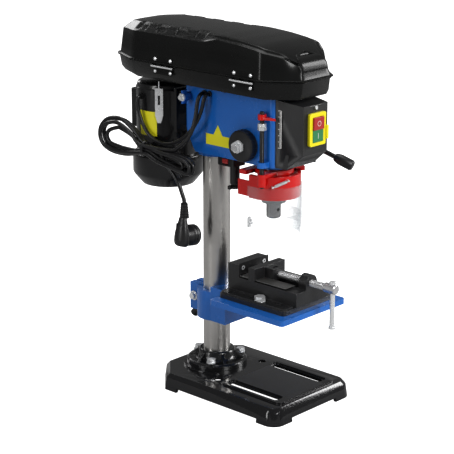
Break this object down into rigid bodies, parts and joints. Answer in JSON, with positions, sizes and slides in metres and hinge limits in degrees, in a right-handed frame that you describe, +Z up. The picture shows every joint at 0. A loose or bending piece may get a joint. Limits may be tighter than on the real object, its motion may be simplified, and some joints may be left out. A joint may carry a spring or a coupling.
{
  "type": "bench drill press",
  "caption": "Small bench drill press: round column on a slotted base, blue head with belt cover and motor, geared feed, guarded chuck and a rising table that carries a machine vise.",
  "frame": {"origin": "bottom centre of the machine's bounding box, on the bench", "axes": "+X to the operator's right, -Y towards the operator, +Z up the column"},
  "size_m": [0.2158, 0.476, 0.618],
  "materials": {
    "black_gloss": "gloss",
    "flange_black": "gloss",
    "zinc": "satin",
    "column_steel": "satin",
    "blue_paint": "gloss",
    "cover_black": "gloss",
    "housing_black": "satin",
    "switch_yellow": "gloss",
    "stop_red": "gloss",
    "start_green": "gloss",
    "plastic_black": "satin",
    "spring_steel": "satin",
    "laser_black": "satin",
    "rubber_black": "matte",
    "motor_black": "gloss",
    "pulley_alloy": "machined",
    "steel": "ground",
    "chuck_steel": "satin",
    "knob_blue": "gloss",
    "guard_red": "gloss",
    "clear_plastic": "clear",
    "vise_black": "satin",
    "cord_black": "satin"
  },
  "bodies": {
    "frame": {"base_plate": "black_gloss", "column_flange": "flange_black", "flange_bolts": "zinc", "column": "column_steel", "head_casting": "blue_paint", "head_fasteners": "zinc", "front_housing": "housing_black", "switch_plate": "switch_yellow", "pulley_pan": "cover_black", "pan_hinge_leaves": "zinc", "spring_cap": "plastic_black", "return_spring": "spring_steel", "laser_box": "laser_black", "cable_grommets": "rubber_black", "drive_belt": "rubber_black", "mains_lead": "cord_black", "lead_hank": "cord_black", "mains_plug": "plastic_black", "motor_cable": "cord_black"},
    "lid": {"cover_lid": "cover_black", "lid_hinge_leaves": "zinc"},
    "motor": {"motor_shell": "motor_black", "motor_end_cap": "motor_black", "capacitor_box": "plastic_black", "motor_plate": "motor_black", "motor_fittings": "zinc"},
    "rotor": {"motor_shaft": "steel", "motor_pulley": "pulley_alloy"},
    "pulley": {"spindle_pulley": "pulley_alloy"},
    "quill": {"quill": "steel", "spindle_bearings": "steel", "guard_collar": "guard_red", "depth_rod": "plastic_black", "depth_pointer": "guard_red"},
    "depth_nuts": {"depth_nuts": "zinc"},
    "spindle": {"spindle": "steel", "chuck_body": "chuck_steel", "chuck_jaws": "chuck_steel"},
    "chuck_sleeve": {"chuck_sleeve": "chuck_steel"},
    "guard": {"guard_hood": "guard_red", "guard_spring": "zinc", "guard_shield": "clear_plastic"},
    "shield_extension": {"shield_extension": "clear_plastic"},
    "wing_screw": {"wing_screw": "zinc"},
    "feed": {"feed_shaft": "steel", "feed_hub": "flange_black", "feed_grips": "plastic_black"},
    "table": {"drill_table": "blue_paint", "table_clamp_bolt": "zinc", "vise_base": "vise_black", "vise_bolts": "zinc"},
    "table_lever": {"table_lever": "plastic_black"},
    "vise_jaw": {"vise_jaw": "vise_black"},
    "vise_screw": {"vise_screw": "steel"},
    "vise_bar": {"vise_bar": "zinc"},
    "stop_button": {"stop_button": "stop_red"},
    "start_button": {"start_button": "start_green"},
    "laser_rocker": {"laser_rocker": "stop_red"},
    "laser_head": {"laser_head": "laser_black"},
    "tension_knob": {"tension_knob": "knob_blue"}
  },
  "joints": [
    {"name": "table_lift", "type": "slide", "parent": "frame", "child": "table", "axis": [0, 0, -1], "range_m": [-0.05, 0.055]},
    {"name": "table_lever_turn", "type": "hinge", "parent": "table", "child": "table_lever", "pos_m": [0.02511, 0.0782, 0.146], "axis": [1, 0, 0], "range_deg": [-30, 120]},
    {"name": "vise_jaw_slide", "type": "slide", "parent": "table", "child": "vise_jaw", "axis": [0, 1, 0], "range_m": [-0.045, 0.0215]},
    {"name": "vise_screw_turn", "type": "hinge", "parent": "vise_jaw", "child": "vise_screw", "pos_m": [-0.00789, -0.1618, 0.222], "axis": [0, 1, 0], "range_deg": [-8101, 3871]},
    {"name": "vise_bar_slide", "type": "slide", "parent": "vise_screw", "child": "vise_bar", "axis": [0, 0, 1], "range_m": [0, 0.055]},
    {"name": "feed_turn", "type": "hinge", "parent": "frame", "child": "feed", "pos_m": [0.04211, -0.06583, 0.4415], "axis": [1, 0, 0], "range_deg": [0, 305.6], "stiffness_Nm_per_rad": 0.15, "springref_deg": -137.51},
    {"name": "quill_slide", "type": "slide", "parent": "frame", "child": "quill", "axis": [0, 0, -1], "range_m": [0, 0.05]},
    {"name": "motor_spin", "type": "hinge", "parent": "motor", "child": "rotor", "pos_m": [-0.00789, 0.1528, 0.44], "axis": [0, 0, 1], "continuous": true},
    {"name": "pulley_spin", "type": "hinge", "parent": "frame", "child": "pulley", "pos_m": [-0.00789, -0.0898, 0.56], "axis": [0, 0, 1], "continuous": true},
    {"name": "spindle_spin", "type": "hinge", "parent": "quill", "child": "spindle", "pos_m": [-0.00789, -0.0898, 0.44], "axis": [0, 0, 1], "continuous": true},
    {"name": "chuck_sleeve_turn", "type": "hinge", "parent": "spindle", "child": "chuck_sleeve", "pos_m": [-0.00789, -0.0898, 0.35], "axis": [0, 0, 1], "continuous": true},
    {"name": "guard_swing", "type": "hinge", "parent": "quill", "child": "guard", "pos_m": [0.04211, -0.0658, 0.39], "axis": [0, 0, 1], "range_deg": [0, 80]},
    {"name": "shield_slide", "type": "slide", "parent": "guard", "child": "shield_extension", "axis": [0, 0, 1], "range_m": [0, 0.028]},
    {"name": "wing_screw_turn", "type": "hinge", "parent": "shield_extension", "child": "wing_screw", "pos_m": [-0.05389, -0.0823, 0.318], "axis": [-1, 0, 0], "range_deg": [0, 360]},
    {"name": "depth_nuts_slide", "type": "slide", "parent": "quill", "child": "depth_nuts", "axis": [0, 0, 1], "range_m": [-0.05, 0.005]},
    {"name": "lid_hinge", "type": "hinge", "parent": "frame", "child": "lid", "pos_m": [-0.08589, -0.0008, 0.553], "axis": [0, -1, 0], "range_deg": [0, 95]},
    {"name": "motor_slide", "type": "slide", "parent": "frame", "child": "motor", "axis": [0, -1, 0], "range_m": [0, 0.012], "deforming": ["drive_belt", "motor_cable"]},
    {"name": "tension_knob_turn", "type": "hinge", "parent": "frame", "child": "tension_knob", "pos_m": [-0.05289, 0.0602, 0.504], "axis": [-1, 0, 0], "range_deg": [0, 360]},
    {"name": "stop_button_press", "type": "slide", "parent": "frame", "child": "stop_button", "axis": [0, 1, 0], "range_m": [0, 0.0025], "stiffness_N_per_m": 400, "springref_m": -0.002},
    {"name": "start_button_press", "type": "slide", "parent": "frame", "child": "start_button", "axis": [0, 1, 0], "range_m": [0, 0.0025], "stiffness_N_per_m": 400, "springref_m": -0.002},
    {"name": "laser_rocker_tilt", "type": "hinge", "parent": "frame", "child": "laser_rocker", "pos_m": [-0.03439, -0.0133, 0.404], "axis": [0, 1, 0], "range_deg": [-10, 10]},
    {"name": "laser_head_swivel", "type": "hinge", "parent": "frame", "child": "laser_head", "pos_m": [-0.03089, -0.0248, 0.38], "axis": [0, 0, 1], "range_deg": [-90, 90]}
  ],
  "couplings": [
    {"joint": "vise_screw_turn", "follows": "vise_jaw_slide", "rad_per_m": 3141.6},
    {"joint": "feed_turn", "follows": "quill_slide", "rad_per_m": 106.67},
    {"joint": "pulley_spin", "follows": "motor_spin", "ratio": 1},
    {"joint": "spindle_spin", "follows": "motor_spin", "ratio": 1}
  ]
}
